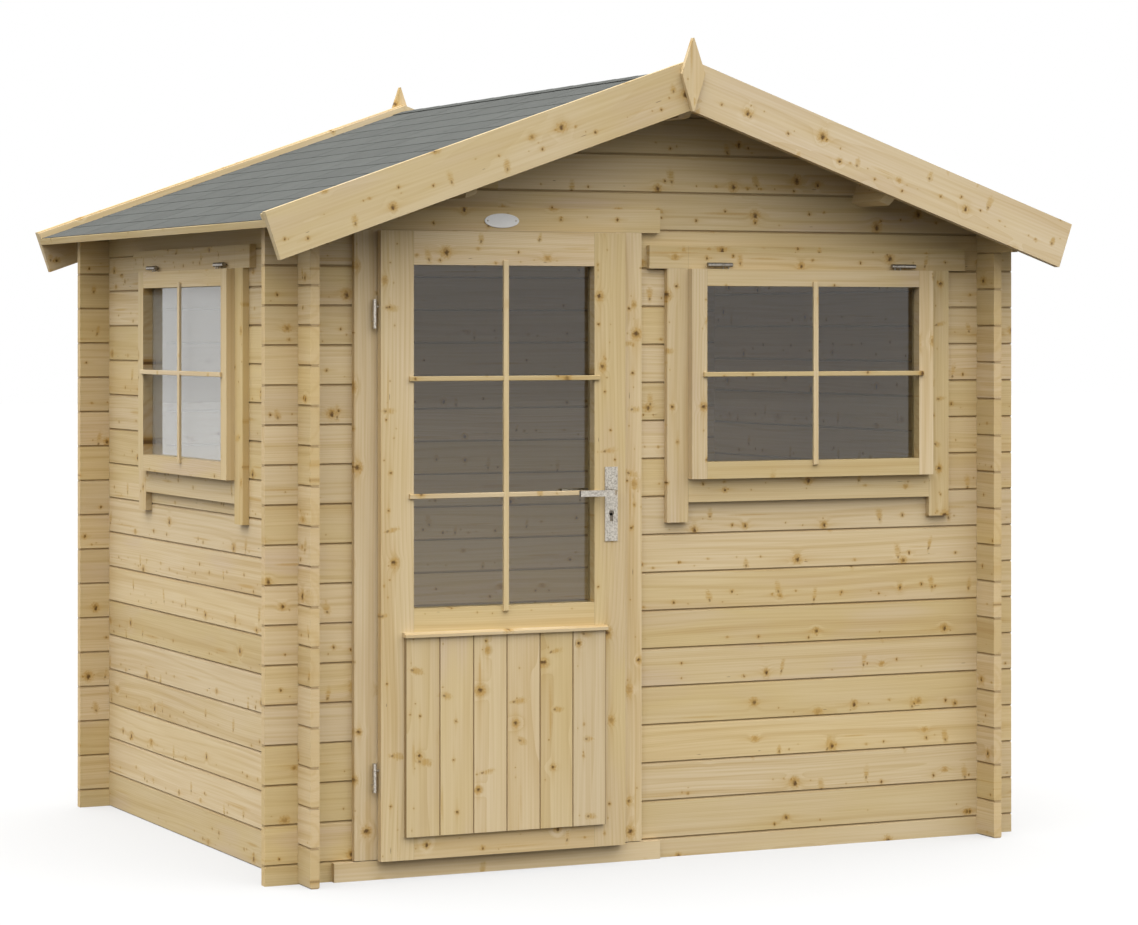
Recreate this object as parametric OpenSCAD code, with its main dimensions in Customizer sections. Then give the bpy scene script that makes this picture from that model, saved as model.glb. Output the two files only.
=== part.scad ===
/* [Logs] */
// Height of one log course
log_h = 114; // [90:1:140]
// Thickness of the logs
log_t = 28; // [22:1:40]
// Length of the log ends that stand past a corner
log_over = 100; // [60:1:140]
// Chamfer along each edge of a log's faces
log_chamfer = 4; // [2:0.5:6]
// Width of the tongue along a log's top
tongue_w = 9; // [6:0.5:12]
// Height of the tongue along a log's top
tongue_h = 8; // [5:0.5:12]
// Taper on each side of the tongue
tongue_taper = 1; // [0.5:0.5:2]
// Gap that is left wherever two pieces seat
seat = 0.3; // [0.1:0.1:0.5]

/* [Cabin] */
// Width over the faces of the side walls
wall_w = 2300; // [2000:10:3200]
// Depth over the faces of the front and back walls
wall_d = 1800; // [1500:10:3000]
// Whole courses in a side wall, below its plate
wall_courses = 16; // [15:1:18]

/* [Roof] */
// Pitch of the roof in degrees
roof_pitch = 19.35; // [15:0.5:26]
// Overhang of the roof past the side walls
eaves_over = 147; // [110:1:200]
// Overhang of the roof boards past the front and back walls
gable_over = 196; // [150:1:260]
// Thickness of the roof boards
roof_board_t = 19; // [15:1:25]
// Width of one roof board
roof_board_w = 96; // [80:1:140]
// Depth of the V joints between boards
v_joint = 3; // [1:0.5:5]
// Thickness of a purlin
purlin_t = 36; // [28:1:50]
// Height of a purlin
purlin_h = 116; // [90:1:140]
// Distance of each lower purlin from the ridge, along the width
purlin_x = 724; // [600:1:800]
// Length of the bevel under a purlin's end
purlin_bevel = 26; // [15:1:60]
// Height of the bevel under a purlin's end
purlin_bevel_h = 22; // [10:1:45]

/* [Roof trim] */
// Width of a barge board
barge_w = 141; // [110:1:160]
// Thickness of a barge board
barge_t = 25; // [18:1:30]
// Distance that the barge boards stand above the strips behind them
barge_rise = 4.5; // [0:0.5:12]
// Side of the square strips along the roof's edges
edge_strip = 20; // [15:1:28]
// Width of a finial
finial_w = 77; // [60:1:110]
// Width of a finial's flat ends
finial_end_w = 4; // [2:1:20]
// Height of a finial above the barge boards
finial_rise = 63; // [40:1:90]
// Length of a finial below its widest place
finial_tail = 111; // [80:1:140]
// Distance from a finial's top down to its widest place
finial_head = 105.5; // [60:0.5:130]
// Thickness of a finial
finial_t = 15; // [12:1:28]

/* [Shingles] */
// Thickness of a shingle
shingle_t = 1.5; // [1:0.5:5]
// Length of each shingle that shows
shingle_course = 112; // [90:1:160]
// Reach of the ridge shingles down each side
ridge_shingle_w = 50; // [40:5:180]
// Distance that the shingles reach past the eaves strip
shingle_drip = 2; // [0:1:15]

/* [Door] */
// Centre of the doorway, along the width from the cabin's middle
door_x = -524; // [-600:1:-400]
// Width of the doorway between the log ends
door_open_w = 877; // [700:1:1000]
// Courses from the half log up to the doorway's head
door_courses = 16; // [15:1:16]
// Width of a door post
door_post_w = 85; // [70:1:110]
// Lap of the frames over the wall's faces
frame_clasp = 22; // [12:1:30]
// Distance that frames and trim stand out from the wall
frame_proud = 20; // [12:1:28]
// Height of the threshold
threshold_h = 15; // [10:1:25]
// Distance that the door's face stands out from its frame
door_step = 32; // [24:1:40]
// Thickness of the door
leaf_t = 45; // [38:1:60]
// Lap of the door over its frame
leaf_lap = 15.5; // [10:0.5:20]
// Gap between the door's back and the frame's face
leaf_gap = 5; // [5:0.5:8]
// Gap round the part of the door that sits inside the frame
leaf_clear = 6; // [5.5:0.5:10]
// Distance that the door reaches below the top of the half log
leaf_drop = 2; // [0:0.5:8]
// Gap between the door and the board over it
leaf_top_gap = 3.5; // [3:0.5:8]
// Width of the door's stiles
stile_w = 102; // [90:1:125]
// Height of the door's top rail
top_rail_h = 98; // [80:1:130]
// Height of the glass that shows in the door
door_glass_h = 994; // [800:1:1060]
// Height of the door's middle rail
mid_rail_h = 110; // [90:1:140]
// Height of the door's bottom rail
bottom_rail_h = 120; // [90:1:160]
// Lap of the panel boards over the door's frame, at each side
panel_lap = 30; // [15:1:50]
// Height of the panel boards
panel_h = 575; // [450:1:600]
// Gap from the door's lower edge up to the panel boards
panel_raise = 67; // [40:1:110]
// Thickness of the panel boards
panel_t = 13; // [9:1:20]
// Number of panel boards
panel_boards = 6; // [4:1:8]
// Height of the drip strip over the panel boards
drip_h = 14; // [10:1:22]
// Height of the drip strip's front edge
drip_lip = 8.5; // [4:0.5:10]
// Distance that the drip strip stands past the panel boards
drip_proud = 10; // [5:1:16]

/* [Trim boards] */
// Length of the boards over and under the doorway
door_trim_w = 1045; // [960:1:1120]
// Height of the boards over the doorway
head_board_h = 69; // [50:1:90]
// Distance that a head board reaches down past the opening
head_board_drop = 8; // [4:1:12]

/* [Windows] */
// Centre of the front window, along the width from the cabin's middle
window_x = 514.5; // [480:0.5:560]
// Centre of the side window, along the depth from the cabin's middle
side_window_y = 0; // [-100:1:100]
// Width of a window opening between the log ends
window_open_w = 940; // [760:1:960]
// First course under a window, counted from the half log
window_sill_course = 9; // [8:1:10]
// Height of a window opening in courses
window_courses = 6; // [5:1:6]
// Width of the trim at a window's sides
window_trim_w = 71; // [60:1:90]
// Length of the trim board over a window
window_head_w = 1103; // [1060:1:1150]
// Length of the side trim below the window opening
window_tail = 78; // [40:1:110]
// Height of the trim rail below a window
window_rail_h = 70; // [50:1:90]
// Height of the opening that the trim rail covers
rail_cover = 52; // [40:1:60]
// Distance that a sash stands out from its trim
sash_step = 26; // [18:1:36]
// Thickness of a sash
sash_t = 44; // [36:1:60]
// Lap of a sash over its lining
sash_lap = 12; // [8:1:16]
// Gap round the part of a sash that sits inside its lining
sash_clear = 2; // [1:0.5:5]
// Width of a sash's stiles and rails
sash_rail_w = 51; // [40:1:70]
// Thickness of the glass
glass_t = 4; // [3:0.5:6]
// Depth of the groove that holds the glass
glass_groove = 8; // [6:0.5:10]
// Distance from a sash's or door's back to the glass
glass_inset = 8; // [4:1:14]

/* [Fittings] */
// Diameter of a hinge barrel
hinge_d = 13; // [10:0.5:16]
// Diameter of a hinge pin
hinge_pin_d = 7; // [5:0.5:8]
// Length of a hinge barrel
hinge_l = 84; // [60:1:100]
// Distance from the door's ends to the middle of its hinges
hinge_inset = 240; // [150:5:300]
// Gap from a hinge barrel to the edge of what it carries
hinge_gap = 6.5; // [5:0.5:10]
// Distance from a sash's ends to the middle of its hinges
sash_hinge_inset = 100; // [70:1:180]
// Diameter of the pins that hold a sash's hinges
sash_pin_d = 4; // [3:0.5:6]
// Spacing of the two pins in each half of a sash's hinge
sash_pin_pitch = 19; // [12:1:24]
// Width of the lock plate
plate_w = 41; // [34:1:50]
// Height of the lock plate
plate_h = 220; // [180:1:250]
// Thickness of the lock plate
plate_t = 3; // [2:0.5:5]
// Distance from the lock plate's top down to the spindle
plate_above = 76; // [60:1:90]
// Distance from the spindle down to the keyhole's round part
keyhole_drop = 61; // [55:1:92]
// Diameter of the keyhole's round part
keyhole_d = 17; // [14:0.5:18]
// Width of the keyhole's straight part
keyhole_slot_w = 10; // [8:0.5:11]
// Height of the whole keyhole
keyhole_h = 33; // [28:1:36]
// Height of the lever's spindle above the door's lower edge
spindle_z = 1047; // [950:1:1100]
// Distance of the spindle from the door's edge
spindle_in = 48; // [40:1:60]
// Diameter of the lever's neck
neck_d = 16; // [12:0.5:20]
// Diameter of the lever's spindle
spindle_d = 9; // [7:0.5:11]
// Running gap round the hinge pins and the lever's spindle
run_gap = 0.3; // [0.2:0.1:0.6]
// Distance from the lock plate to the back of the lever's grip
lever_stand = 35; // [30:1:45]
// Length of the lever's grip from its spindle
lever_l = 122; // [95:1:140]
// Height of the lever's grip
lever_h = 18; // [14:1:22]
// Height of the lever where it turns in to the door
lever_root_h = 13; // [10:1:16]
// Thickness of the lever
lever_t = 12; // [8:1:14]
// Radius of the lever's outer bend
lever_bend = 34; // [24:1:40]

/* [Floor] */
// Thickness of the floor boards
floor_t = 19; // [15:1:25]
// Width of one floor board
floor_board_w = 96; // [80:1:140]
// Width of a floor bearer
bearer_w = 45; // [38:1:70]
// Number of floor bearers
bearers = 5; // [3:1:7]
// Gap between the floor and the walls
floor_gap = 6; // [3:1:10]

/* [Hidden] */
$fn = 48;
eps = 1;
half_log = log_h / 2;
side_log_l = wall_d + 2 * log_over;
front_log_l = wall_w + 2 * log_over;
side_x = wall_w / 2 - log_t / 2;
front_y = wall_d / 2 - log_t / 2;
plate_z = wall_courses * log_h;
gable_z = plate_z + half_log;
pitch_tan = tan(roof_pitch);
ridge_z = plate_z + log_h + pitch_tan * (side_x - log_t / 2);
gable_courses = ceil((ridge_z - gable_z) / log_h);
roof_x = wall_w / 2 + eaves_over;
roof_l = wall_d + 2 * gable_over;
barge_x = roof_x + (edge_strip + seat) * cos(roof_pitch);
barge_top = roof_board_t + seat + edge_strip + barge_rise;
shingle_l = roof_x / cos(roof_pitch) + seat + edge_strip + shingle_drip;
shingle_rows = max(1, floor((shingle_l - ridge_shingle_w) / shingle_course));
top_shingle_l = shingle_l - (shingle_rows - 1) * shingle_course;
door_sill_z = half_log;
door_head_z = half_log + door_courses * log_h;
door_left = door_x - door_open_w / 2;
door_right = door_x + door_open_w / 2;
door_clear_w = door_open_w + 2 * frame_clasp - 2 * door_post_w;
head_board_z = door_head_z - head_board_drop;
leaf_w = door_clear_w + 2 * leaf_lap;
leaf_z = door_sill_z - leaf_drop;
leaf_h = head_board_z - leaf_top_gap - leaf_z;
leaf_face = -wall_d / 2 - frame_proud - door_step;
leaf_back = leaf_face + leaf_t;
leaf_core_h = leaf_h - 2 * leaf_lap - 2 * leaf_clear;
door_hole_w = leaf_w - 2 * stile_w;
door_glass_z = leaf_z + leaf_h - top_rail_h - door_glass_h;
panel_w = door_hole_w + 2 * panel_lap;
panel_hole_z = leaf_z + bottom_rail_h;
panel_hole_h = door_glass_z - mid_rail_h - panel_hole_z;
hinge_x = door_x - leaf_w / 2 - hinge_gap - hinge_d / 2;
hinge_y = leaf_face + door_step / 2;
spindle_x = door_x + leaf_w / 2 - spindle_in;
window_z = half_log + window_sill_course * log_h;
window_h = window_courses * log_h;
window_left = window_x - window_open_w / 2;
window_right = window_x + window_open_w / 2;
trim_in = window_trim_w - frame_clasp;
sash_w = window_open_w - 2 * trim_in;
sash_h = window_h - rail_cover - seat;
floor_w = wall_w - 2 * log_t - 2 * floor_gap;
floor_d = wall_d - 2 * log_t - 2 * floor_gap;
bearer_h = half_log - floor_t - seat;

// Height of the roof boards' underside at a distance x from the ridge
function roof_z(x) = ridge_z - pitch_tan * abs(x);

// Outline of one log: chamfered faces, a tongue on top and a groove below
module log_profile(grooved = true) {
    t = log_t / 2;
    c = log_chamfer;
    w = tongue_w / 2;
    g = w + seat;
    top = log_h - seat;
    difference() {
        polygon([
            [-t + c, 0], [t - c, 0], [t, c], [t, top - c], [t - c, top],
            [w, top], [w - tongue_taper, top + tongue_h], [tongue_taper - w, top + tongue_h], [-w, top],
            [-t + c, top], [-t, top - c], [-t, c]
        ]);
        if (grooved)
            polygon([
                [-g, -eps], [g, -eps], [g, 0],
                [g - tongue_taper, tongue_h], [tongue_taper - g, tongue_h], [-g, 0]
            ]);
    }
}

// Notch cut across a log where the other wall's logs cross it
module cross_notch() {
    w = log_t + 2 * seat;
    deep = log_h / 4 + seat / 2;
    translate([-w / 2, -log_t, -eps]) cube([w, 2 * log_t, deep + eps]);
    translate([-w / 2, -log_t, log_h - deep]) cube([w, 2 * log_t, deep + tongue_h]);
}

// One log along X from x0 to x1, with its lower edge at z
module log_x(x0, x1, z, y, notch_at = [], grooved = true) {
    translate([0, y, z]) difference() {
        translate([x0, 0, 0]) rotate([90, 0, 90]) linear_extrude(x1 - x0) log_profile(grooved);
        for (x = notch_at) translate([x, 0, 0]) cross_notch();
    }
}

// One log along Y from y0 to y1, with its lower edge at z
module log_y(y0, y1, z, x, notch_at = [], grooved = true) {
    translate([x, 0, z]) difference() {
        translate([0, y1, 0]) rotate([90, 0, 0]) linear_extrude(y1 - y0) log_profile(grooved);
        for (y = notch_at) translate([0, y, 0]) rotate([0, 0, 90]) cross_notch();
    }
}

corners_x = [-side_x, side_x];
corners_y = [-front_y, front_y];
log_end_x = front_log_l / 2;
log_end_y = side_log_l / 2;

// The half log that starts a front or back wall
module half_log_x(y) {
    difference() {
        log_x(-log_end_x, log_end_x, -half_log, y, corners_x);
        translate([-front_log_l, y - log_t, -log_h]) cube([2 * front_log_l, 2 * log_t, log_h]);
    }
}

// Courses a to b of a front or back wall, which start above the half log
module courses_x(a, b, x0, x1, y, notch_at) {
    for (k = [a:b]) log_x(x0, x1, half_log + k * log_h, y, notch_at);
}

// Courses a to b of a side wall
module courses_y(a, b, y0, y1, x, notch_at) {
    for (k = [a:b]) log_y(y0, y1, k * log_h, x, notch_at, k > 0);
}

// Everything under the roof boards, as a prism along Y
module under_roof(x, lift = 0) {
    rotate([90, 0, 0]) linear_extrude(2 * side_log_l, center = true)
        polygon([[-x, 0], [x, 0], [x, roof_z(x) + lift], [0, ridge_z + lift], [-x, roof_z(x) + lift]]);
}

// Section of a lower purlin, square to the roof's slope, grown by g
module lower_purlin_section(side, g = 0) {
    translate([side * purlin_x, roof_z(purlin_x)]) rotate(-side * roof_pitch)
        translate([-purlin_t / 2 - g, -purlin_h - seat - g]) square([purlin_t + 2 * g, purlin_h + 2 * g]);
}

// Section of the ridge purlin, grown by g
module ridge_purlin_section(g = 0) {
    top = roof_z(purlin_t / 2) - seat;
    translate([-purlin_t / 2 - g, top - purlin_h - g]) square([purlin_t + 2 * g, purlin_h + 2 * g]);
}

// Stands a section in X and Z up and runs it along Y
module along_y(length) {
    rotate([90, 0, 0]) linear_extrude(length, center = true) children();
}

// Gable logs, cut to the roof and round the purlins
module gable(y) {
    difference() {
        intersection() {
            for (k = [0:gable_courses - 1])
                log_x(-log_end_x, log_end_x, gable_z + k * log_h, y, k == 0 ? corners_x : []);
            under_roof(log_end_x, -seat);
        }
        translate([0, y, 0]) along_y(2 * log_t) ridge_purlin_section(seat);
        for (s = [-1, 1]) translate([0, y, 0]) along_y(2 * log_t) lower_purlin_section(s, seat);
    }
}

// Opening through the front wall, w wide from x0, which takes the tongue off the log below it
module front_hole(x0, w, z, h) {
    translate([x0, -wall_d / 2 - eps, z - seat]) cube([w, log_t + 2 * eps, h]);
}

module front_sill_log() {
    color("burlywood") difference() {
        half_log_x(-front_y);
        front_hole(door_left, door_open_w, door_sill_z, log_h);
    }
}

module front_wall_left() {
    color("burlywood") courses_x(0, door_courses - 1, -log_end_x, door_left, -front_y, [-side_x]);
}

module front_wall_low() {
    color("burlywood") difference() {
        courses_x(0, window_sill_course - 1, door_right, log_end_x, -front_y, [side_x]);
        front_hole(window_left, window_open_w, window_z, log_h);
    }
}

module front_wall_pier() {
    color("burlywood")
        courses_x(window_sill_course, window_sill_course + window_courses - 1, door_right, window_left,
            -front_y, []);
}

module front_wall_right() {
    color("burlywood")
        courses_x(window_sill_course, window_sill_course + window_courses - 1, window_right, log_end_x,
            -front_y, [side_x]);
}

module front_head_log() {
    color("burlywood")
        courses_x(window_sill_course + window_courses, door_courses - 1, door_right, log_end_x, -front_y,
            [side_x]);
}

module front_gable() { color("burlywood") gable(-front_y); }

module back_wall() {
    color("burlywood") {
        half_log_x(front_y);
        courses_x(0, wall_courses - 1, -log_end_x, log_end_x, front_y, corners_x);
    }
}

module back_gable() { color("burlywood") gable(front_y); }

module right_wall() {
    color("burlywood") courses_y(0, wall_courses - 1, -log_end_y, log_end_y, side_x, corners_y);
}

side_window_back = side_window_y + window_open_w / 2;
side_window_front = side_window_y - window_open_w / 2;

module left_wall_low() {
    color("burlywood") courses_y(0, window_sill_course - 1, -log_end_y, log_end_y, -side_x, corners_y);
}

module left_wall_front() {
    color("burlywood")
        courses_y(window_sill_course + 1, window_sill_course + window_courses - 1, -log_end_y,
            side_window_front, -side_x, [-front_y]);
}

module left_wall_back() {
    color("burlywood")
        courses_y(window_sill_course + 1, window_sill_course + window_courses - 1, side_window_back,
            log_end_y, -side_x, [front_y]);
}

// The window's opening through the side wall, which cuts halfway into the logs over and under it
module side_window_hole() {
    translate([-side_x - log_t, side_window_front, window_z])
        cube([2 * log_t, window_open_w, window_h]);
}

module left_sill_log() {
    color("burlywood") difference() {
        courses_y(window_sill_course, window_sill_course, -log_end_y, log_end_y, -side_x, corners_y);
        side_window_hole();
    }
}

module left_head_log() {
    color("burlywood") difference() {
        courses_y(window_sill_course + window_courses, wall_courses - 1, -log_end_y, log_end_y, -side_x,
            corners_y);
        side_window_hole();
    }
}

// Slanting cut under both ends of a piece that runs along Y, whose underside is at z
module end_bevels(z, x0, x1) {
    end = roof_l / 2 - seat;
    rise = purlin_bevel_h * (1 + eps / purlin_bevel);
    for (s = [-1, 1])
        translate([x0, 0, z]) rotate([90, 0, 90]) linear_extrude(x1 - x0)
            polygon([[s * (end - purlin_bevel), 0], [s * (end + eps), rise],
                [s * (end + eps), -eps], [s * (end - purlin_bevel), -eps]]);
}

module wall_plate(side) {
    intersection() {
        log_y(-roof_l / 2 + seat, roof_l / 2 - seat, plate_z, side * side_x, corners_y);
        under_roof(log_end_x, -seat);
    }
}

module wall_plates() {
    color("tan") for (side = [-1, 1]) wall_plate(side);
}

module ridge_purlin() {
    under = roof_z(purlin_t / 2) - seat - purlin_h;
    color("tan") difference() {
        along_y(roof_l - 2 * seat) ridge_purlin_section();
        end_bevels(under, -purlin_t, purlin_t);
    }
}

module lower_purlins() {
    color("tan") for (side = [-1, 1]) difference() {
        along_y(roof_l - 2 * seat) lower_purlin_section(side);
        translate([side * purlin_x, 0, roof_z(purlin_x)]) rotate([0, side * roof_pitch, 0])
            end_bevels(-purlin_h - seat, -purlin_t, purlin_t);
    }
}

// Section of a V joint, cut into a face at y = 0
module v_section() {
    v = v_joint;
    polygon([[-v, -eps], [v, -eps], [v, 0], [0, v], [-v, 0]]);
}

// Sheet of tongued boards, count of them from a width and a board's width, with a V joint below
module board_sheet(width, length, thick, board_w) {
    n = round(width / board_w);
    step = width / n;
    linear_extrude(length) difference() {
        translate([-width / 2, 0]) square([width, thick]);
        for (i = [1:n - 1]) translate([-width / 2 + i * step, 0]) v_section();
    }
}

// Section of one side's roof boards in X and Z
module roof_side_section(side, x1, low, high) {
    c = cos(roof_pitch);
    s = sin(roof_pitch);
    g = seat / 2;
    polygon([
        [side * g, roof_z(g) + low / c], [side * (x1 + low * s), roof_z(x1) + low * c],
        [side * (x1 + high * s), roof_z(x1) + high * c], [side * g, roof_z(g) + high / c]
    ]);
}

module roof_boards(side) {
    slope_l = roof_x / cos(roof_pitch) + 2 * roof_board_t;
    intersection() {
        translate([0, 0, ridge_z]) rotate([0, side * roof_pitch, 0]) rotate([90, 0, side * 90])
            translate([0, 0, -roof_board_t]) board_sheet(roof_l, slope_l, roof_board_t, roof_board_w);
        along_y(2 * roof_l) roof_side_section(side, roof_x, -eps, roof_board_t + eps);
    }
}

module left_roof_boards() { color("wheat") roof_boards(-1); }

module right_roof_boards() { color("wheat") roof_boards(1); }

// Stepped section of the shingles on one side: each course laps over the one below
module shingle_section(side) {
    for (i = [0:shingle_rows - 1]) {
        low = shingle_l - i * shingle_course;
        high = i < shingle_rows - 1 ? low - shingle_course - shingle_t : seat;
        polygon([[side * low, 0], [side * low, 2 * shingle_t], [side * high, shingle_t], [side * high, 0]]);
    }
}

module shingles(side) {
    c = cos(roof_pitch);
    intersection() {
        along_y(roof_l - 2 * edge_strip - 2 * seat)
            translate([0, ridge_z + (roof_board_t + seat) / c]) rotate(-side * roof_pitch)
                shingle_section(side);
        translate([side * roof_l, 0, ridge_z])
            cube([2 * roof_l - seat, 2 * roof_l, 2 * roof_l], center = true);
    }
}

module left_shingles() { color("slategray") shingles(-1); }

module right_shingles() { color("slategray") shingles(1); }

// Shingles bent over the ridge: their edges rest on the top courses
module ridge_shingles() {
    c = cos(roof_pitch);
    under = shingle_t * (1 + ridge_shingle_w / top_shingle_l);
    z = ridge_z + (roof_board_t + 2 * seat + under) / c;
    x = ridge_shingle_w * c;
    drop = x * pitch_tan;
    color("slategray") along_y(roof_l - 2 * edge_strip - 2 * seat)
        polygon([[-x, z - drop], [0, z], [x, z - drop], [x, z - drop + shingle_t / c], [0, z + shingle_t / c],
            [-x, z - drop + shingle_t / c]]);
}

// Strips along the gable edges, on the roof boards and behind the barge boards
module gable_edge_strips() {
    low = roof_board_t + seat;
    color("wheat") for (side = [-1, 1]) for (end = [-1, 1])
        translate([0, end * (roof_l - edge_strip) / 2, 0]) along_y(edge_strip)
            roof_side_section(side, barge_x, low, low + edge_strip);
}

// Strips over the lower ends of the roof boards, flush with their tops
module eaves_strips() {
    color("wheat") for (side = [-1, 1])
        translate([side * roof_x, 0, roof_z(roof_x)]) rotate([0, side * roof_pitch, 0])
            translate([side * (edge_strip / 2 + seat), 0, roof_board_t - edge_strip / 2])
                cube([edge_strip, roof_l, edge_strip], center = true);
}

// Both barge boards of one gable, mitred at the ridge
module barge_boards(end) {
    translate([0, end * (roof_l + barge_t + 2 * seat) / 2, 0]) for (side = [-1, 1])
        along_y(barge_t) roof_side_section(side, barge_x, barge_top - barge_w, barge_top);
}

module front_barge_boards() { color("wheat") barge_boards(-1); }

module back_barge_boards() { color("wheat") barge_boards(1); }

module finials() {
    top = ridge_z + barge_top / cos(roof_pitch) + finial_rise;
    w = finial_w / 2;
    t = finial_end_w / 2;
    foot = top - finial_head - finial_tail;
    color("wheat") for (end = [-1, 1])
        translate([0, end * (roof_l / 2 + barge_t + 2 * seat + finial_t / 2), 0]) along_y(finial_t)
            polygon([[-t, top], [-w, top - finial_head], [-t, foot], [t, foot], [w, top - finial_head],
                [t, top]]);
}

module floor_bearers() {
    pitch = (floor_d - bearer_w) / (bearers - 1);
    color("peru") for (i = [0:bearers - 1])
        translate([-floor_w / 2, -floor_d / 2 + i * pitch, 0]) cube([floor_w, bearer_w, bearer_h]);
}

module floor_boards() {
    color("wheat") translate([0, floor_d / 2, half_log]) rotate([90, 0, 0]) mirror([0, 1, 0])
        board_sheet(floor_w, floor_d, floor_t, floor_board_w);
}

// Door post: clasps the log ends at the opening's edge, standing on the half log
module door_post() {
    h = head_board_z - seat - door_sill_z - seat;
    translate([-frame_clasp, -frame_proud, 0]) difference() {
        cube([door_post_w, log_t + 2 * frame_proud, h]);
        translate([-eps, frame_proud - seat, -eps])
            cube([frame_clasp + seat + eps, log_t + 2 * seat, h + 2 * eps]);
    }
}

module door_frame() {
    depth = log_t + 2 * frame_proud;
    head_under = leaf_z + leaf_h - leaf_lap;
    color("wheat") translate([door_x, -wall_d / 2, 0]) {
        for (side = [0, 1]) mirror([side, 0, 0])
            translate([-door_open_w / 2, 0, door_sill_z + seat]) door_post();
        translate([-door_clear_w / 2 + seat, 0, 0]) {
            translate([0, -frame_proud, head_under])
                cube([door_clear_w - 2 * seat, depth, head_board_z - seat - head_under]);
            translate([0, seat, head_under])
                cube([door_clear_w - 2 * seat, log_t - 2 * seat, door_head_z - seat - head_under]);
            translate([0, -frame_proud, door_sill_z + seat])
                cube([door_clear_w - 2 * seat, depth, threshold_h]);
        }
    }
}

// Boards on the wall's faces over the doorway, and the board under it outside
module door_trim_boards() {
    front = -wall_d / 2;
    color("wheat") translate([door_x - door_trim_w / 2, 0, 0]) {
        translate([0, front - frame_proud - seat, head_board_z])
            cube([door_trim_w, frame_proud, head_board_h]);
        translate([0, front + log_t + seat, head_board_z])
            cube([door_trim_w, frame_proud, head_board_h]);
        translate([0, front - frame_proud - seat, 0])
            cube([door_trim_w, frame_proud, leaf_z]);
    }
}

hinge_zs = [leaf_z + hinge_inset, leaf_z + leaf_h - hinge_inset];
knuckle_l = hinge_l / 2 - run_gap;

// Fixed half of each door hinge: lower knuckle, its bolt into the post, and the pin
module door_hinge_pins() {
    frame_y = -wall_d / 2 - frame_proud;
    color("silver") for (z = hinge_zs) translate([hinge_x, hinge_y, z]) {
        translate([0, 0, -hinge_l / 2]) cylinder(d = hinge_d, h = knuckle_l);
        translate([0, 0, -hinge_l / 2]) cylinder(d = hinge_pin_d, h = hinge_l - hinge_d / 2);
        translate([0, 0, -hinge_l / 4]) rotate([-90, 0, 0])
            cylinder(d = hinge_pin_d, h = frame_y - hinge_y - seat);
    }
}

// Moving half of each door hinge: upper knuckle and its bolt into the door's edge
module door_hinge_knuckles() {
    color("silver") for (z = hinge_zs) translate([hinge_x, hinge_y, z]) difference() {
        union() {
            translate([0, 0, run_gap]) cylinder(d = hinge_d, h = knuckle_l);
            translate([0, 0, hinge_l / 4]) rotate([0, 90, 0])
                cylinder(d = hinge_pin_d, h = hinge_d / 2 + hinge_gap - seat);
        }
        translate([0, 0, -eps])
            cylinder(d = hinge_pin_d + 2 * run_gap, h = eps + hinge_l / 2 - hinge_d / 2 + run_gap);
    }
}

// Slot for a pane: as thick as the glass and its gaps, groove deep past the opening
module pane_slot(w, h, z, y) {
    translate([-w / 2 - glass_groove, y - seat, z - glass_groove])
        cube([w + 2 * glass_groove, glass_t + 2 * seat, h + 2 * glass_groove]);
}

module pane(w, h, z, y) {
    g = glass_groove - seat;
    translate([-w / 2 - g, y, z - g]) cube([w + 2 * g, glass_t, h + 2 * g]);
}

door_glass_y = leaf_back - glass_inset - glass_t;

module door_leaf() {
    lap_t = door_step - leaf_gap;
    core_w = door_clear_w - 2 * leaf_clear;
    inset = leaf_lap + leaf_clear;
    color("wheat") difference() {
        translate([door_x, 0, 0]) difference() {
            union() {
                translate([-leaf_w / 2, leaf_face, leaf_z]) cube([leaf_w, lap_t, leaf_h]);
                translate([-core_w / 2, leaf_face, leaf_z + inset])
                    cube([core_w, leaf_t, leaf_h - 2 * inset]);
            }
            translate([-door_hole_w / 2, leaf_face - eps, door_glass_z])
                cube([door_hole_w, leaf_t + 2 * eps, door_glass_h]);
            translate([-door_hole_w / 2, leaf_face - eps, panel_hole_z])
                cube([door_hole_w, leaf_t + 2 * eps, panel_hole_h]);
            pane_slot(door_hole_w, door_glass_h, door_glass_z, door_glass_y);
        }
        translate([spindle_x, leaf_face - eps, leaf_z + spindle_z]) rotate([-90, 0, 0])
            cylinder(d = neck_d, h = leaf_t + 2 * eps);
    }
}

module door_glass() {
    color("lightslategray", 0.5) translate([door_x, 0, 0])
        pane(door_hole_w, door_glass_h, door_glass_z, door_glass_y);
}

// Upright boards planted on the lower half of the door, with a drip strip over them
module door_panel() {
    z = leaf_z + panel_raise;
    w = panel_w / panel_boards;
    y = leaf_face - seat - panel_t;
    color("wheat") translate([door_x, 0, 0]) {
        translate([0, y, z]) linear_extrude(panel_h - seat) difference() {
            translate([-panel_w / 2, 0]) square([panel_w, panel_t]);
            for (i = [1:panel_boards - 1]) translate([-panel_w / 2 + i * w, 0]) v_section();
        }
        translate([-panel_w / 2 - drip_proud / 2, 0, z + panel_h]) rotate([90, 0, 90])
            linear_extrude(panel_w + drip_proud)
                polygon([[y - drip_proud, 0], [y - drip_proud, drip_lip], [y, drip_h],
                    [leaf_face - seat, drip_h], [leaf_face - seat, 0]]);
    }
}

// Keyhole of the usual profile, round above and straight below, in a face of X and Y down
module keyhole() {
    circle(d = keyhole_d);
    translate([-keyhole_slot_w / 2, 0]) square([keyhole_slot_w, keyhole_h - keyhole_d / 2]);
}

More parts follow.
